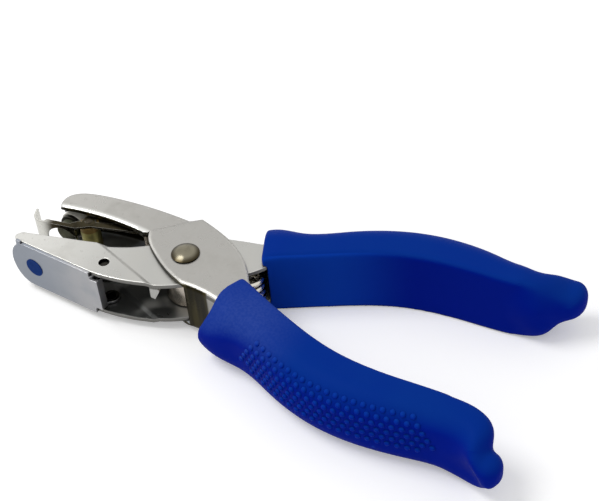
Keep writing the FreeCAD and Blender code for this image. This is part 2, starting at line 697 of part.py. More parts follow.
def grip(shares, side, outline, half):
    """Loft through sections on two smooth guide lines, hollow for the handle's channel."""
    inner = handle_points([row[0:2] for row in shares], side)
    outer = handle_points([row[2:4] for row in shares], side)
    for point, row in zip(inner, shares):
        point.z = row[4] * grip_half + grip_crown
    stations = [(row[0] + row[2]) / 2 for row in shares]
    guides = []
    for points in (inner, outer):
        guide = Part.BSplineCurve()
        guide.interpolate(Points=points, Parameters=stations)
        guides.append(guide)
    sections = []
    for i in range(grip_steps * (len(shares) - 1) + 1):
        row = min(i // grip_steps, len(shares) - 2)
        part = i / grip_steps - row
        station = stations[row] + (stations[row + 1] - stations[row]) * part
        near, far = (guide.value(station) for guide in guides)
        half_height = near.z
        near.z = 0
        width = (far - near).Length
        corners = [(a + (b - a) * part) * width for a, b in zip(shares[row][5:], shares[row + 1][5:])]
        sections.append((near, far, half_height, *corners))
    body = Part.makeLoft([rounded_section(*section) for section in sections], True, False)
    collar = end_cap(sections[0], grip_rim_round, -side)
    tail = end_cap(sections[-1], sections[-1][3], side)
    span = V(handle_reach, handle_reach, 0) * 2
    below = Part.makeBox(2 * span.x, 2 * span.y, grip_half, V(0, 0, -2 * grip_half) - span)
    tang = prism(outline, -half, half)
    return body.fuse([collar, tail]).removeSplitter().cut(below).cut(tang)


die_arm = die_lever()
save("die_lever", die_arm, "die")
punch_arm = punch_lever()
save("punch_lever", punch_arm, "punch")
save("pivot_rivet", pivot_rivet(), "punch")
save("pivot_sleeve", pivot_sleeve(), "die")
punch_parts()
stripper_parts()
door_parts()
save("return_spring", return_spring(), "lying")
save("die_lever_grip", grip(far_grip_shares, 1, edges_b, die_cheek_out), "die")
save("punch_lever_grip", grip(near_grip_shares, -1, edges_a, punch_cheek_out), "punch")
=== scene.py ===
import json
import math

import bmesh
import bpy
from mathutils import Matrix, Vector
from mathutils.bvhtree import BVHTree


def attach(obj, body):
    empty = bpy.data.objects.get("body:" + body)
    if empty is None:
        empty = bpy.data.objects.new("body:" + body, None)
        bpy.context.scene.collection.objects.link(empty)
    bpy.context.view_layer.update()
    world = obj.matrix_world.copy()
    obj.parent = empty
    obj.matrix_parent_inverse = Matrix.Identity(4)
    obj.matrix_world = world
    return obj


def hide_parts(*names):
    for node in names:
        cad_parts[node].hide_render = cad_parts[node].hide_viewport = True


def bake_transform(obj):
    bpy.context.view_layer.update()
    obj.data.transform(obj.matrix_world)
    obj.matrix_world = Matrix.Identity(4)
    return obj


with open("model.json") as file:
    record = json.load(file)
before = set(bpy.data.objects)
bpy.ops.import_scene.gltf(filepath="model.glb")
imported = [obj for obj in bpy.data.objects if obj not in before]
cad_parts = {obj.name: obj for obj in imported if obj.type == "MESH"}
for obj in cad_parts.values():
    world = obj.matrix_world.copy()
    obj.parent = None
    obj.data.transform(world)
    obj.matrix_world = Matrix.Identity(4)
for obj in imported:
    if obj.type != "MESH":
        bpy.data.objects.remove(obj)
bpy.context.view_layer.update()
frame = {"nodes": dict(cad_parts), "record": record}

# Hole punch pliers lying on their side on a pale floor. Metres, in the frame's axes:
# the pivot axis is Z, the head points to -X, the handles to +X and the table is z = 0.

MM = 0.001
nodes = frame["nodes"]
MIDDLE_HEIGHT = 9.8 * MM            # of the plane that halves the head's thickness

# Camera, at the photograph's angle
IMAGE_WIDTH = 599
CAMERA_AZIMUTH = 30.0
CAMERA_ELEVATION = 42.5
CAMERA_ROLL = -5.5
CAMERA_DISTANCE = 380 * MM
CAMERA_TARGET = Vector((23.76, 20.42, 9.8)) * MM
FOCAL_PIXELS = 1368
SENSOR_WIDTH = 36.0
CLIP_SHARE = 50                     # clips nearer and further than the target by this factor

# Floor and light
FLOOR_REACH = 40 * CAMERA_DISTANCE
FLOOR_WHITE = (0.90, 0.90, 0.90)
FLOOR_LIFT = 0.27                   # glow that only the camera sees, so that the floor looks white
WORLD_LIGHT = 0.58                  # what matt surfaces get; mirrored and seen directly it is 1
LAMP_TARGET = (0.02, 0, 0)
KEY_PLACE = (-0.30, -0.10, 0.60)
KEY_SIZE = 0.35
KEY_POWER = 2.0
FILL_PLACE = (0.45, -0.45, 0.45)
FILL_SIZE = 0.6
FILL_POWER = 0.15

# Tones that several finishes share
# Painted shade, mixed into recesses by ambient occlusion masks
PAINTED_RECESS_SHADE = (0.010, 0.009, 0.007)
SHADED = (0.050, 0.047, 0.038)      # painted shade and a painted dark reflection on the inside of the door
PALEST = 0.9                        # the most that painted highlights and painted light on the plating reach

# Noise in features per metre, and the depth of the finer one
CLOUDS = 140
GRAIN = 1400
GRAIN_DEPTH = 0.02 * MM

# Shader sampling, and when edge shading, inner faces and walls count as such
BEVEL_SAMPLES = 6
RECESS_SAMPLES = 10
EDGE_SPAN = (0.80, 0.98)            # cosine between the bevelled normal and the face's
INSIDE_SPAN = (-3 * MM, -1.5 * MM)  # height over the middle plane times how far the face looks up
WALL_LEVEL = 0.5                    # a wall's normal has less of Z than this

# Spans of x in which a finish changes
TIP_LIGHT_SPAN = (-48 * MM, -8 * MM)     # the levers' painted light, from their bright tip to their darker rear
RIM_SPAN = (-12 * MM, -4 * MM)      # the levers' painted rim highlights, from strong to mild
WEB_SHADE_SPAN = (12.3 * MM, 13.1 * MM)    # the web beside the window, from painted dark reflection to plain
HANDLE_SPAN = (14 * MM, 16 * MM)    # the levers' recesses, from painted shade to none
STRIP_SPAN = (-47 * MM, -43 * MM)   # the stripper, from its bright tip to the painted shade on its rails
DOOR_SPAN = (-42 * MM, -21 * MM)    # the chip door, from shadow to light

# Spans of distance in plan from a place
RIVET_SPAN = (2.2 * MM, 3.8 * MM)   # the pivot rivet, from crown to the painted shade of its rim
# A painted highlight on the near grip's front
NEAR_HIGHLIGHT_PLACE = (24 * MM, -19 * MM, 0)
NEAR_HIGHLIGHT_SPAN = (5 * MM, 24 * MM)
# Painted light along the far grip's inner face
LIT_PLACE = (30 * MM, 12 * MM, 0)
LIT_SPAN = (5 * MM, 31 * MM)

# The painted highlight along the hood's rolled rim is an arc in plan
ROLL_CENTRE = (-31.5 * MM, -76.66 * MM, 0)
ROLL_RADIUS = 82.0 * MM
ROLL_WIDTH = 2.0 * MM
ROLL_END = -15 * MM

# The hinge pin's blind seats lie under a thin skin of the hood, which edge shading has to skip
HINGE_PIN_PLACE = (-16.51 * MM, 6.345 * MM, 0)
HINGE_PIN_SKIP = 2.2 * MM

# Grips: skin resolution, softness and the leaf-shaped field of bumps on their outer sides
SKIN_VOXEL = 0.42 * MM
SKIN_SMOOTHING = 2
BUMP_RADIUS = 0.85 * MM
BUMP_HEIGHT = 0.62 * MM
BUMP_RINGS = ((1.0, -0.25), (0.88, 0.32), (0.58, 0.80))     # reach and rise of each ring
BUMP_SIDES = 10
BUMP_PITCH = 2.5 * MM       # along a row
ROW_PITCH = 2.1 * MM
FIELD_START = 28 * MM
FIELD_END = 84 * MM
FIELD_REACH = 9.6 * MM      # from the outermost line over the skin, towards the face with the bumps
FIELD_BACK = 3.0 * MM       # and the other way
FIELD_HEAD = 8 * MM         # lengths in which the field widens and narrows
FIELD_TAIL = 6 * MM
FIELD_TIP_SHARE = 0.25
LINE_STEPS = 80
LINE_SHARE = 0.9999         # the last bump sits this far along the outermost line
SECTION_STEPS = 30
GRIP_CORE = 6 * MM          # from the outermost line to the middle of the grip
CORE_SHARE = 4              # rays to the middle start this many times as far out
CHANNEL_GAP = 3 * MM        # skin that faces its lever from nearer than this is left out,
CHANNEL_START = 27 * MM     # behind this x
PUSH_SMOOTHING = 10

# Where thumbs shaped the grips: centre, radius and move, in millimetres. The last one only smooths.
FAR_PUSHES = [((93.5, 26.5, 10), 12, (1.4, -3.6, 0)), ((92.5, 21.5, 3), 7, (1.6, -0.8, 0)),
              ((93.5, 27.5, 18), 9, (0, -0.8, -1.1))]
NEAR_PUSHES = [((91.5, -25.5, 16), 9, (3.9, 1.1, 0)), ((93.5, -33, 6), 8, (2.65, 0.8, 0)),
               ((13.5, -17.5, 18), 10, (2.2, 0.2, -0.7)), ((96.3, -34.5, 12), 5, (0, 0, 0))]

# Edges sharper than this many degrees stay sharp
SHARP_ANGLE = 32
SPRING_SHARP_ANGLE = 60

# The Mix node's sockets go by number, because its data types share their names
MIX_VECTOR_INPUTS, MIX_VECTOR_OUTPUT = (4, 5), 1
MIX_COLOUR_INPUTS, MIX_COLOUR_OUTPUT = (6, 7), 2


def make_camera():
    azimuth, elevation, roll = (math.radians(degrees) for degrees in
                                (CAMERA_AZIMUTH, CAMERA_ELEVATION, CAMERA_ROLL))
    look = Vector((-math.sin(azimuth) * math.cos(elevation),
                   math.cos(azimuth) * math.cos(elevation), -math.sin(elevation)))
    right = Vector((math.cos(azimuth), math.sin(azimuth), 0))
    up = right.cross(look)
    side = right * math.cos(roll) + up * math.sin(roll)
    top = up * math.cos(roll) - right * math.sin(roll)
    data = bpy.data.cameras.new("photo_camera")
    data.sensor_width = SENSOR_WIDTH
    data.lens = SENSOR_WIDTH * FOCAL_PIXELS / IMAGE_WIDTH
    data.clip_start = CAMERA_DISTANCE / CLIP_SHARE
    data.clip_end = CAMERA_DISTANCE * CLIP_SHARE
    camera = bpy.data.objects.new("photo_camera", data)
    camera.matrix_world = Matrix.Translation(CAMERA_TARGET - look * CAMERA_DISTANCE) @ Matrix(
        (side, top, -look)).transposed().to_4x4()
    bpy.context.scene.collection.objects.link(camera)
    bpy.context.scene.camera = camera


class Material:
    """A node material with short calls for its nodes. Factors run from 0 to 1."""

    def __init__(self, name):
        self.material = bpy.data.materials.new(name)
        self.material.use_nodes = True
        self.tree = self.material.node_tree
        self.shader = self.tree.nodes["Principled BSDF"]
        self.place = self.node("ShaderNodeTexCoord").outputs["Object"]

    def node(self, kind, **settings):
        made = self.tree.nodes.new(kind)
        for name, value in settings.items():
            setattr(made, name, value)
        return made

    def link(self, source, target):
        self.tree.links.new(source, target)

    def feed(self, socket, value):
        """Gives a socket a colour, a number or another node's output."""
        if isinstance(value, tuple):
            socket.default_value = (*value, 1)
        elif isinstance(value, (int, float)):
            socket.default_value = value
        else:
            self.link(value, socket)

    def set(self, **values):
        """Feeds the shader's inputs, named with underscores for spaces."""
        for name, value in values.items():
            self.feed(self.shader.inputs[name.replace("_", " ")], value)

    def calc(self, operation, first, second=0.0):
        made = self.node("ShaderNodeMath", operation=operation)
        for socket, value in zip(made.inputs, (first, second)):
            self.feed(socket, value)
        return made.outputs[0]

    def both(self, first, second):
        """1 where both factors are 1."""
        return self.calc("MULTIPLY", first, second)

    def between(self, value, low, high, out_low, out_high):
        """Maps a value smoothly from one span to another."""
        spread = self.node("ShaderNodeMapRange", interpolation_type="SMOOTHSTEP")
        for name, number in (("From Min", low), ("From Max", high),
                             ("To Min", out_low), ("To Max", out_high)):
            spread.inputs[name].default_value = number
        self.link(value, spread.inputs["Value"])
        return spread.outputs["Result"]

    def rise(self, value, low, high, most=1.0):
        """0 below a span, the most above it."""
        return self.between(value, low, high, 0.0, most)

    def fall(self, value, low, high):
        """1 below a span, 0 above it."""
        return self.between(value, low, high, 1.0, 0.0)

    def mix(self, factor, first, second):
        """Colour mix; first and second are colours or sockets."""
        mix = self.node("ShaderNodeMix", data_type="RGBA")
        self.link(factor, mix.inputs["Factor"])
        for number, value in zip(MIX_COLOUR_INPUTS, (first, second)):
            self.feed(mix.inputs[number], value)
        return mix.outputs[MIX_COLOUR_OUTPUT]

    def noise(self, scale, detail, stretch=(1, 1, 1)):
        """Noise in the object's own coordinates; scale is features per metre."""
        mapping = self.node("ShaderNodeMapping")
        mapping.inputs["Scale"].default_value = stretch
        self.link(self.place, mapping.inputs["Vector"])
        noise = self.node("ShaderNodeTexNoise")
        noise.inputs["Scale"].default_value = scale
        noise.inputs["Detail"].default_value = detail
        self.link(mapping.outputs["Vector"], noise.inputs["Vector"])
        return noise.outputs["Fac"]

    def gloss(self, clouds, smooth, rough):
        """Roughness that follows a noise."""
        return self.between(clouds, 0.3, 0.7, smooth, rough)

    def part_of(self, vector, axis):
        split = self.node("ShaderNodeSeparateXYZ")
        self.link(vector, split.inputs[0])
        return split.outputs[axis]

    def before(self, span):
        """1 before a span of x, 0 behind it."""
        return self.fall(self.part_of(self.place, "X"), *span)

    def behind(self, span):
        """0 before a span of x, 1 behind it."""
        return self.rise(self.part_of(self.place, "X"), *span)

    def distance(self, point):
        """Distance in plan from a point."""
        away = self.node("ShaderNodeVectorMath", operation="SUBTRACT")
        away.inputs[1].default_value = point
        self.link(self.place, away.inputs[0])
        flat = self.node("ShaderNodeVectorMath", operation="MULTIPLY")
        flat.inputs[1].default_value = (1, 1, 0)
        self.link(away.outputs["Vector"], flat.inputs[0])
        length = self.node("ShaderNodeVectorMath", operation="LENGTH")
        self.link(flat.outputs["Vector"], length.inputs[0])
        return length.outputs["Value"]

    def off_middle(self):
        """Height over the middle plane."""
        return self.calc("SUBTRACT", self.part_of(self.place, "Z"), MIDDLE_HEIGHT)

    def facing(self, axis):
        """A part of the face's own normal, in the frame's axes."""
        return self.part_of(self.node("ShaderNodeNewGeometry").outputs["True Normal"], axis)

    def inside(self):
        """1 on the faces of cheeks that look towards the middle plane, 0 elsewhere."""
        return self.fall(self.both(self.off_middle(), self.facing("Z")), *INSIDE_SPAN)

    def wall(self, low, high):
        """1 on walls and cut edges within a span of distances from the middle plane, 0 elsewhere."""
        away = self.calc("ABSOLUTE", self.off_middle())
        within = self.both(self.calc("GREATER_THAN", away, low), self.calc("LESS_THAN", away, high))
        level = self.calc("ABSOLUTE", self.facing("Z"))
        return self.both(within, self.calc("LESS_THAN", level, WALL_LEVEL))

    def bevelled(self, reach):
        """The normal, rounded within a reach of edges."""
        bevel = self.node("ShaderNodeBevel", samples=BEVEL_SAMPLES)
        bevel.inputs["Radius"].default_value = reach
        return bevel.outputs["Normal"]

    def edges(self, reach):
        """1 within about a reach of edges, 0 elsewhere."""
        dot = self.node("ShaderNodeVectorMath", operation="DOT_PRODUCT")
        self.link(self.bevelled(reach), dot.inputs[0])
        self.link(self.node("ShaderNodeNewGeometry").outputs["Normal"], dot.inputs[1])
        return self.fall(dot.outputs["Value"], *EDGE_SPAN)

    def soft_edge(self, reach, where=None):
        """A normal that rolls over sharp edges, or only where a factor is 1."""
        if where is None:
            return self.bevelled(reach)
        mix = self.node("ShaderNodeMix", data_type="VECTOR")
        self.link(where, mix.inputs["Factor"])
        plain = self.node("ShaderNodeNewGeometry").outputs["Normal"]
        for number, normal in zip(MIX_VECTOR_INPUTS, (plain, self.bevelled(reach))):
            self.link(normal, mix.inputs[number])
        return mix.outputs[MIX_VECTOR_OUTPUT]

    def recess(self, reach, open_share, shut_share):
        """1 deep in recesses, 0 on open faces."""
        shade = self.node("ShaderNodeAmbientOcclusion", samples=RECESS_SAMPLES)
        shade.inputs["Distance"].default_value = reach
        return self.fall(shade.outputs["AO"], shut_share, open_share)

    def bump(self, height, depth, strength, below=None):
        bump = self.node("ShaderNodeBump")
        bump.inputs["Distance"].default_value = depth
        bump.inputs["Strength"].default_value = strength
        self.link(height, bump.inputs["Height"])
        if below is not None:
            self.link(below, bump.inputs["Normal"])
        return bump.outputs["Normal"]


def scaled(colour, share, most=1.0):
    return tuple(min(most, part * share) for part in colour)


def satin_metal(name, colour, darker_tone, smooth, rough, grain=(1, 1, 1), pits=0.25, reach=5 * MM,
                open_share=0.72, shut_share=0.30):
    """Plated or bare metal: clouded gloss, fine grain, faint stains, soft edges with a painted
    highlight, painted shade in recesses.
    """
    m = Material(name)
    clouds = m.noise(CLOUDS, 4.0)
    stained = m.mix(m.rise(clouds, 0.45, 0.75), colour, darker_tone)
    # Painted highlight on the edges, and painted shade in the recesses
    painted_edges = m.mix(m.edges(0.22 * MM), stained, scaled(colour, 1.25))
    m.set(Base_Color=m.mix(m.recess(reach, open_share, shut_share), painted_edges, PAINTED_RECESS_SHADE), Metallic=1.0,
          Roughness=m.gloss(clouds, smooth, rough),
          Normal=m.bump(m.noise(GRAIN, 2.0, grain), GRAIN_DEPTH, pits, m.soft_edge(0.25 * MM)))
    return m.material


def roll_highlight_band(m, below, colour):
    """A painted highlight on the arc along the hood's rim, over the colours below."""
    band = m.fall(m.distance(ROLL_CENTRE), ROLL_RADIUS + 0.2 * ROLL_WIDTH, ROLL_RADIUS + ROLL_WIDTH)
    return m.mix(m.both(band, m.before((ROLL_END, ROLL_END + MM))), below, colour)


def painted_web_shade(m, below, colour):
    """Painted dark reflection in streaks beside the window, on what faces the front, over the colours
    below.
    """
    front = m.fall(m.facing("Y"), -0.8, -0.5)
    streaks = m.noise(260, 2.0, stretch=(1, 1, 0.08))
    streaked_shade = m.mix(m.rise(streaks, 0.50, 0.66), colour, scaled(colour, 4))
    return m.mix(m.both(m.before(WEB_SHADE_SPAN), front), below, streaked_shade)


def pressed_sheet(name, colour, darker_tone, lit_tip_and_rear, cut_span, rim, rim_reach, inside, depth, roll=None,
                  web_shade=None):
    """A channel pressed from plated sheet, with painted highlights on its rims and painted shade on
    its cut edges, on its inside and in its recesses. lit_tip_and_rear is how bright the painted light
    makes its tip and its rear, rim how bright the painted highlight on its rims is and rim_reach how
    wide.
    cut_span is how far from the middle plane its cut edges lie. inside is the two tones of painted
    shade on its inner faces, depth the reach of the painted shade in its recesses. roll and web_shade
    are the colours of the painted highlight along the hood's rolled rim and of the painted dark
    reflection on the web beside the window."""
    m = Material(name)
    clouds = m.noise(CLOUDS, 4.0)
    # Painted light: brighter at the tip, darker towards the rear
    tip, rear = (scaled(colour, share, PALEST) for share in lit_tip_and_rear)
    lit_gradient = m.mix(m.behind(TIP_LIGHT_SPAN), tip, rear)
    stained = m.mix(m.rise(clouds, 0.45, 0.75, most=0.6), lit_gradient, darker_tone)
    tone = m.mix(m.rise(m.noise(900, 2.0), 0.62, 0.72, most=0.5), stained, darker_tone)
    plain = m.rise(m.distance(HINGE_PIN_PLACE), HINGE_PIN_SKIP, 1.2 * HINGE_PIN_SKIP)
    # Painted highlights on the rims, stronger before RIM_SPAN
    painted_edges = m.mix(m.behind(RIM_SPAN), scaled(colour, rim, PALEST), scaled(colour, 1.25))
    tone = m.mix(m.both(m.edges(rim_reach), plain), tone, painted_edges)
    # Painted highlight along the hood's rolled rim
    if roll:
        tone = roll_highlight_band(m, tone, roll)
    # Painted shade on the cut edges
    tone = m.mix(m.wall(*cut_span), tone, scaled(darker_tone, 0.45))
    # Painted dark reflection on the web beside the window
    if web_shade:
        tone = painted_web_shade(m, tone, web_shade)
    # Painted shade on the inner faces, dark in the window and lighter in the hood
    dim = m.mix(m.rise(m.noise(90, 2.0), 0.42, 0.62), *inside)
    tone = m.mix(m.inside(), tone, dim)
    # Painted shade in crevices
    crevice_shaded = m.mix(m.recess(0.8 * MM, 0.80, 0.45), tone, scaled(darker_tone, 0.25))
    # Painted shade in the recesses before the handles
    recess_shade_mask = m.both(m.before(HANDLE_SPAN), m.recess(depth, 0.62, 0.36))
    m.set(Base_Color=m.mix(recess_shade_mask, crevice_shaded, PAINTED_RECESS_SHADE),
          Metallic=m.between(m.inside(), 0.0, 1.0, 1.0, 0.35),
          Roughness=m.gloss(clouds, 0.26, 0.38),
          Normal=m.bump(m.noise(GRAIN, 2.0), GRAIN_DEPTH, 0.25, m.soft_edge(0.8 * rim_reach, plain)))
    return m.material


def sprung_strip(name, bright, dark):
    """Thin sprung sheet: bright at its curled tip, with brown painted shade and edge highlights along
    the rails.
    """
    m = Material(name)
    clouds = m.noise(400, 4.0)
    # Painted shade, dark brown, on the rails
    rails = m.mix(m.rise(clouds, 0.40, 0.70), dark, scaled(dark, 0.5))
    back = m.behind(STRIP_SPAN)
    # Painted shade on the tip's edges, painted highlights on the rails' edges
    edge = m.mix(back, scaled(bright, 0.25), scaled(bright, 0.6))
    painted_edges = m.mix(m.edges(0.28 * MM), m.mix(back, bright, rails), edge)
    # Painted shade in recesses
    m.set(Base_Color=m.mix(m.recess(2 * MM, 0.75, 0.35), painted_edges, PAINTED_RECESS_SHADE), Metallic=1.0,
          Roughness=m.gloss(clouds, 0.16, 0.30))
    return m.material


def banded_brass(name, colour, darker_tone, band_low, band_high):
    """The spacer: dull brass with a brown painted reflection of the stripper above a band of heights.
    """
    m = Material(name)
    clouds = m.noise(400, 3.0)
    dull = m.mix(m.rise(clouds, 0.4, 0.7), colour, scaled(colour, 0.7))
    # Painted reflection of the stripper, brown, above the band
    toned = m.mix(m.rise(m.part_of(m.place, "Z"), band_low, band_high), dull, darker_tone)
    # Painted shade in recesses
    m.set(Base_Color=m.mix(m.recess(1.5 * MM, 0.75, 0.35), toned, PAINTED_RECESS_SHADE), Metallic=1.0,
          Roughness=m.gloss(clouds, 0.36, 0.50))
    return m.material


def door_sheet(name, shadow, light):
    """The chip door: satin sheet with painted shade that turns to painted light towards its hinge."""
    m = Material(name)
    clouds = m.noise(CLOUDS, 4.0)
    brushed = m.noise(GRAIN, 2.0, stretch=(1, 1, 6))
    # Painted shade that turns to painted light towards the hinge, in clouds
    stained = m.mix(m.rise(clouds, 0.45, 0.80, most=0.5),
                    m.mix(m.behind(DOOR_SPAN), shadow, light), shadow)
    # Painted highlight on the edges
    painted_edges = m.mix(m.edges(0.25 * MM), stained, scaled(light, 1.3, PALEST))
    # Painted shade and painted dark reflection on the inside
    shaded = m.mix(m.inside(), painted_edges, SHADED)
    # Painted shade in recesses
    m.set(Base_Color=m.mix(m.recess(4 * MM, 0.70, 0.30), shaded, PAINTED_RECESS_SHADE), Metallic=1.0,
          Roughness=m.gloss(clouds, 0.30, 0.42),
          Normal=m.bump(brushed, GRAIN_DEPTH, 0.3, m.soft_edge(0.25 * MM)))
    return m.material


def rivet_metal(name, colour, rim):
    """Domed rivet on the pivot's axis: polished crown, brownish, darkening to painted shade at its
    rim.
    """
    m = Material(name)
    clouds = m.noise(500, 3.0)
    crown = m.mix(m.rise(clouds, 0.4, 0.7), colour, scaled(colour, 0.8))
    # Painted shade towards the rim
    toned = m.mix(m.rise(m.distance((0, 0, 0)), *RIVET_SPAN), crown, rim)
    # Painted shade in recesses
    m.set(Base_Color=m.mix(m.recess(2 * MM, 0.85, 0.45), toned, PAINTED_RECESS_SHADE), Metallic=1.0,
          Roughness=m.gloss(clouds, 0.16, 0.28))
    return m.material


def turned_holder(name, pale, plated, web):
    """The punch holder: a pale painted reflection inside the hood, plated where it is riveted through
    the web.
    """
    m = Material(name)
    clouds = m.noise(300, 3.0)
    through = m.rise(m.part_of(m.place, "Y"), web, web + MM)
    # Painted reflection, pale, inside the hood
    cloudy = m.mix(m.rise(clouds, 0.45, 0.75), pale, scaled(pale, 0.8))
    m.set(Base_Color=m.mix(through, cloudy, plated),
          Metallic=m.between(through, 0.0, 1.0, 0.1, 1.0), Roughness=m.gloss(clouds, 0.26, 0.40))
    return m.material


def enamel(name, colour):
    m = Material(name)
    clouds = m.noise(900, 3.0)
    m.set(Base_Color=m.mix(clouds, colour, scaled(colour, 0.7)),
          Roughness=m.gloss(clouds, 0.35, 0.5), Specular_IOR_Level=0.03,
          Normal=m.bump(clouds, 0.01 * MM, 0.4))
    return m.material


def rubber(name, deep, pale, near_highlight):
    """Moulded grip: faint bluish sheen, fine mould texture, painted light on what faces up, painted
    highlights on the bumps' edges and at the near grip's front, painted light along the far grip's
    inner face and painted shade in recesses."""
    m = Material(name)
    clouds = m.noise(60, 4.0)
    fine = m.noise(1500, 3.0)
    # Painted light: paler on what faces up, in clouds
    painted_top_light = m.both(m.rise(m.facing("Z"), 0.1, 0.9), m.between(clouds, 0.3, 0.7, 0.8, 1.0))
    # Painted highlight at the near grip's front, mottled
    near_highlight_mask = m.both(m.fall(m.distance(NEAR_HIGHLIGHT_PLACE), *NEAR_HIGHLIGHT_SPAN),
                     m.between(fine, 0.35, 0.65, 0.6, 1.0))
    topped = m.mix(m.both(painted_top_light, near_highlight_mask), m.mix(painted_top_light, deep, pale), near_highlight)
    # Painted light along the far grip's inner face
    lit = m.both(m.fall(m.distance(LIT_PLACE), *LIT_SPAN), m.fall(m.facing("Y"), -0.8, -0.4))
    # Painted highlight on the bumps' edges
    bump_highlight = m.rise(m.node("ShaderNodeNewGeometry").outputs["Pointiness"], 0.52, 0.62, most=0.32)
    bump_highlight = m.both(bump_highlight, m.before((FIELD_END + MM, FIELD_END + 2 * MM)))
    toned = m.mix(bump_highlight, m.mix(lit, topped, scaled(pale, 1.6)), scaled(pale, 2.2))
    # Painted shade round the bumps and in recesses
    m.set(Base_Color=m.mix(m.recess(1.2 * MM, 0.85, 0.45), toned, scaled(deep, 0.4)),
          Roughness=m.gloss(clouds, 0.38, 0.50), Specular_IOR_Level=0.015,
          Specular_Tint=(0.3, 0.5, 1.0), Normal=m.bump(fine, 0.03 * MM, 0.35))
    return m.material


def make_materials():
    """One finish per node that needs its own tone, else one per slot of the record."""
    return {
        # The two levers share one nickel plating, as a lit copy on the die lever and a shaded copy on
        # the punch lever: painted light
        "die_lever": pressed_sheet(
            "plate_painted_lit", (0.59, 0.585, 0.555), (0.47, 0.46, 0.43), lit_tip_and_rear=(1.22, 0.82),
            cut_span=(4.9 * MM, 7.6 * MM), rim=1.3, rim_reach=0.6 * MM,
            inside=((0.05, 0.052, 0.05), (0.40, 0.40, 0.38)), depth=3 * MM),
        "punch_lever": pressed_sheet(
            "plate_painted_shaded", (0.445, 0.435, 0.41), (0.36, 0.35, 0.325), lit_tip_and_rear=(1.16, 0.95),
            cut_span=(6.3 * MM, 8.6 * MM), rim=2.0, rim_reach=2.0 * MM,
            inside=((0.22, 0.22, 0.20), (0.50, 0.52, 0.55)), depth=1.2 * MM,
            roll=(0.84, 0.84, 0.81), web_shade=(0.015, 0.0125, 0.005)),
        "stripper_plate": sprung_strip(
            "plate_sprung", bright=(0.72, 0.71, 0.66), dark=(0.046, 0.038, 0.020)),
        # The stripper's spacer pin is painted dark for the shade it sits in inside the hood
        "stripper_spacer_pin": satin_metal(
            "pin_painted_shade", (0.06, 0.05, 0.035), (0.03, 0.025, 0.016), smooth=0.2, rough=0.35,
            reach=2 * MM),
        "door_nickel": door_sheet(
            "door_nickel", shadow=(0.30, 0.325, 0.37), light=(0.45, 0.45, 0.46)),
        "pivot_rivet": rivet_metal(
            "rivet_nickel", (0.23, 0.21, 0.155), rim=(0.045, 0.036, 0.020)),
        # This slot's pins are painted dark for the shade in the holes they sit in
        "rivet_nickel": satin_metal(
            "pin_nickel_painted_shade", (0.045, 0.042, 0.036), (0.02, 0.018, 0.015), smooth=0.12, rough=0.24,
            reach=2.5 * MM, open_share=0.95, shut_share=0.60),
        "polished_steel": satin_metal(
            "polished_steel", (0.62, 0.56, 0.48), (0.45, 0.38, 0.30), smooth=0.16, rough=0.30,
            grain=(1, 1, 20), reach=1.5 * MM),
        "punch_holder": turned_holder(
            "holder_steel", pale=(0.90, 0.88, 0.80), plated=(0.42, 0.41, 0.385), web=10 * MM),
        "tool_steel": satin_metal(
            "tool_steel", (0.115, 0.117, 0.078), (0.045, 0.045, 0.036), smooth=0.4, rough=0.6,
            pits=0.6, reach=2 * MM),
        "dark_steel": satin_metal(
            "dark_steel", (0.05, 0.047, 0.038), (0.025, 0.024, 0.02), smooth=0.3, rough=0.5),
        "spacer_brass": banded_brass(
            "spacer_brass", (0.50, 0.45, 0.17), (0.30, 0.20, 0.07), band_low=13.1 * MM,
            band_high=13.5 * MM),
        "spring_steel": satin_metal(
            "spring_steel", (0.72, 0.69, 0.62), (0.40, 0.36, 0.29), smooth=0.12, rough=0.22,
            reach=1.2 * MM),
        "mark_blue": enamel("mark_blue", (0.002, 0.033, 0.19)),
        "grip_blue": rubber(
            "grip_blue", deep=(0.0004, 0.0105, 0.262), pale=(0.0025, 0.032, 0.265),
            near_highlight=(0.026, 0.060, 0.32)),
    }


def give(obj, material):
    obj.data.materials.clear()
    obj.data.materials.append(material)


def smooth_by_angle(obj, degrees):
    """Smooth shading across soft edges, sharp across the others."""
    for polygon in obj.data.polygons:
        polygon.use_smooth = True
    obj.data.set_sharp_from_angle(angle=math.radians(degrees))


def new_piece(name, mesh, node, slot):
    """A piece that stands for a CAD node."""
    piece = bpy.data.objects.new(name, mesh)
    bpy.context.scene.collection.objects.link(piece)
    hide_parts(node)
    give(piece, materials[slot])
    return piece


# Grips

def soft_skin(node, lever, pushes):
    """The node's outside as an even mesh with softened edges and an end reshaped by the given pushes,
    its hidden channel left out, and a tree of the whole to cast rays at."""
    shell = bpy.data.objects.new("skin_source", node.data.copy())
    bpy.context.scene.collection.objects.link(shell)
    remesh = shell.modifiers.new("even", "REMESH")
    remesh.mode = "VOXEL"
    remesh.voxel_size = SKIN_VOXEL
    soften = shell.modifiers.new("soften", "SMOOTH")
    soften.factor = 0.5
    soften.iterations = SKIN_SMOOTHING
    depsgraph = bpy.context.evaluated_depsgraph_get()
    mesh = bpy.data.meshes.new_from_object(shell.evaluated_get(depsgraph))
    bpy.data.objects.remove(shell)
    skin = bmesh.new()
    skin.from_mesh(mesh)
    bpy.data.meshes.remove(mesh)
    for centre, radius, move in pushes:
        push(skin, centre, radius, move)
    tree = BVHTree.FromBMesh(skin)
    tang = BVHTree.FromPolygons([vertex.co for vertex in lever.data.vertices],
                                [polygon.vertices for polygon in lever.data.polygons])
    hidden = [face for face in skin.faces if face.calc_center_median().x > CHANNEL_START
              and tang.ray_cast(face.calc_center_median(), face.normal, CHANNEL_GAP)[0]]
    bmesh.ops.delete(skin, geom=hidden, context="FACES")
    return skin, tree


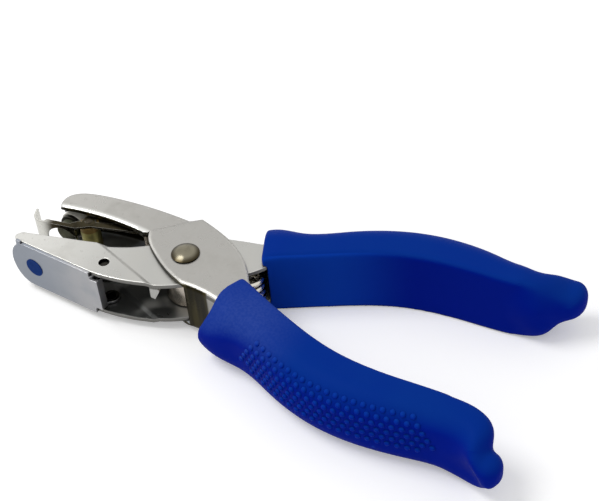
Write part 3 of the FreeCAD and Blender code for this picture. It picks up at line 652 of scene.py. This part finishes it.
def push(skin, centre, radius, move):
    """Moves the skin softly round a point, as a thumb would, and smooths it there; millimetres."""
    centre, radius, move = Vector(centre) * MM, radius * MM, Vector(move) * MM
    pushed = []
    for vertex in skin.verts:
        share = 1 - (vertex.co - centre).length_squared / radius ** 2
        if share > 0:
            vertex.co += move * share ** 2
            pushed.append(vertex)
    for _ in range(PUSH_SMOOTHING):
        bmesh.ops.smooth_vert(skin, verts=pushed, factor=0.5,
                              use_axis_x=True, use_axis_y=True, use_axis_z=True)


def add_dome(skin, place, normal):
    """A low round bump on the skin, its edge sunk under the surface."""
    turn = normal.to_track_quat("Z", "Y")
    angles = [2 * math.pi * i / BUMP_SIDES for i in range(BUMP_SIDES)]
    rings = [[skin.verts.new(place + turn @ Vector((BUMP_RADIUS * reach * math.cos(angle),
                                                    BUMP_RADIUS * reach * math.sin(angle),
                                                    BUMP_HEIGHT * rise)))
              for angle in angles] for reach, rise in BUMP_RINGS]
    crown = skin.verts.new(place + normal * BUMP_HEIGHT)
    for i in range(BUMP_SIDES):
        after = (i + 1) % BUMP_SIDES
        for low, high in zip(rings[:-1], rings[1:]):
            skin.faces.new((low[i], low[after], high[after], high[i]))
        skin.faces.new((rings[-1][i], rings[-1][after], crown))


def walk(points, distance):
    """Where a run of (place, normal) pairs reaches a distance from its start, or None past its end."""
    for (here, normal), (ahead, turned) in zip(points[:-1], points[1:]):
        step = (ahead - here).length
        if distance <= step:
            share = distance / step
            return here.lerp(ahead, share), normal.lerp(turned, share).normalized()
        distance -= step
    return None


def outer_line(tree, outward):
    """The outermost line of a grip at mid height, within the field's length."""
    inward = Vector((0, -outward, 0))
    line = []
    for i in range(LINE_STEPS + 1):
        x = FIELD_START + (FIELD_END - FIELD_START) * i / LINE_STEPS
        start = Vector((x, outward * CAMERA_DISTANCE, MIDDLE_HEIGHT))
        place, normal, _, _ = tree.ray_cast(start, inward)
        line.append((place, Vector((normal.x, normal.y, 0)).normalized()))
    return line


def section_half(tree, place, out, way):
    """A grip's section from its outermost point up or down to its inner side."""
    core = place - out * GRIP_CORE
    half = [(place, out)]
    for i in range(1, SECTION_STEPS + 1):
        turn = way * math.radians(90) * i / SECTION_STEPS
        ray = out * math.cos(turn) + Vector((0, 0, math.sin(turn)))
        hit, normal, _, _ = tree.ray_cast(core + ray * CORE_SHARE * GRIP_CORE, -ray)
        half.append((hit, normal))
    return half


def add_bumps(skin, tree, outward, bumpy_way):
    """Staggered rows of bumps where the palm and the fingers rest. One moulding serves both
    levers, turned over, so the bumps reach up on one and down on the other."""
    line = outer_line(tree, outward)
    length = sum((b[0] - a[0]).length for a, b in zip(line[:-1], line[1:]))
    half_columns = int(2 * length / BUMP_PITCH)
    for half_column in range(half_columns + 1):
        at = length * half_column / half_columns
        reached = walk(line, min(at, length * LINE_SHARE))
        spread = min(1.0, FIELD_TIP_SHARE + at / FIELD_HEAD,
                     FIELD_TIP_SHARE + (length - at) / FIELD_TAIL)
        for way, reach in ((bumpy_way, FIELD_REACH), (-bumpy_way, FIELD_BACK)):
            half = section_half(tree, *reached, way)
            for row in range(half_column % 2, int(spread * reach / ROW_PITCH) + 1, 2):
                if row == 0 and way != bumpy_way:
                    continue
                spot = walk(half, row * ROW_PITCH)
                if spot:
                    add_dome(skin, *spot)


def make_grip(lever_name, body, outward, bumpy_way, pushes):
    """The skin of a lever's grip. outward is the side of Y that it bulges to, bumpy_way the side
    of Z that its bumps reach to; 1 or -1."""
    node_name = lever_name + "_grip"
    skin, tree = soft_skin(nodes[node_name], nodes[lever_name], pushes)
    add_bumps(skin, tree, outward, bumpy_way)
    mesh = bpy.data.meshes.new(node_name + "_skin")
    skin.to_mesh(mesh)
    skin.free()
    for polygon in mesh.polygons:
        polygon.use_smooth = True
    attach(new_piece(node_name + "_skin", mesh, node_name, "grip_blue"), body)


# Return spring, which twists between the two levers

def make_spring():
    mesh = nodes["return_spring"].data.copy()
    spring = new_piece("return_spring_wire", mesh, "return_spring", "spring_steel")
    smooth_by_angle(spring, SPRING_SHARP_ANGLE)
    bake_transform(spring)


# Floor and light

def make_stage():
    mesh = bpy.data.meshes.new("floor")
    corners = [(x * FLOOR_REACH, y * FLOOR_REACH, 0) for x, y in ((-1, -1), (1, -1), (1, 1), (-1, 1))]
    mesh.from_pydata(corners, [], [(0, 1, 2, 3)])
    floor = bpy.data.objects.new("floor", mesh)
    bpy.context.scene.collection.objects.link(floor)
    m = Material("floor")
    seen = m.node("ShaderNodeLightPath").outputs["Is Camera Ray"]
    m.set(Base_Color=FLOOR_WHITE, Roughness=0.9, Specular_IOR_Level=0.1,
          Emission_Color=(1.0, 1.0, 1.0), Emission_Strength=m.both(seen, FLOOR_LIFT))
    mesh.materials.append(m.material)


def area_lamp(name, place, size, power):
    data = bpy.data.lights.new(name, "AREA")
    data.shape = "DISK"
    data.size = size
    data.energy = power
    lamp = bpy.data.objects.new(name, data)
    lamp.location = place
    lamp.rotation_euler = (Vector(LAMP_TARGET) - Vector(place)).to_track_quat("-Z", "Y").to_euler()
    bpy.context.scene.collection.objects.link(lamp)


def make_light():
    """A white studio that is dimmer for matt surfaces, and two soft lamps."""
    world = bpy.data.worlds.new("studio")
    bpy.context.scene.world = world
    world.use_nodes = True
    tree = world.node_tree
    background = tree.nodes["Background"]
    background.inputs["Color"].default_value = (1, 1, 1, 1)
    path = tree.nodes.new("ShaderNodeLightPath")
    seen = tree.nodes.new("ShaderNodeMath")
    seen.operation = "MAXIMUM"
    tree.links.new(path.outputs["Is Camera Ray"], seen.inputs[0])
    tree.links.new(path.outputs["Is Glossy Ray"], seen.inputs[1])
    strength = tree.nodes.new("ShaderNodeMapRange")
    strength.inputs["To Min"].default_value = WORLD_LIGHT
    strength.inputs["To Max"].default_value = 1.0
    tree.links.new(seen.outputs[0], strength.inputs["Value"])
    tree.links.new(strength.outputs["Result"], background.inputs["Strength"])
    area_lamp("key", KEY_PLACE, KEY_SIZE, KEY_POWER)
    area_lamp("fill", FILL_PLACE, FILL_SIZE, FILL_POWER)
    bpy.context.scene.view_settings.view_transform = "Standard"


make_camera()
make_stage()
make_light()
materials = make_materials()
for part in frame["record"]["subparts"]:
    node = nodes[part["node"]]
    give(node, materials.get(part["node"]) or materials[part["material_slot"]])
    smooth_by_angle(node, SHARP_ANGLE)
make_grip("die_lever", "lower_arm", outward=1, bumpy_way=-1, pushes=FAR_PUSHES)
make_grip("punch_lever", "upper_arm", outward=-1, bumpy_way=1, pushes=NEAR_PUSHES)
make_spring()
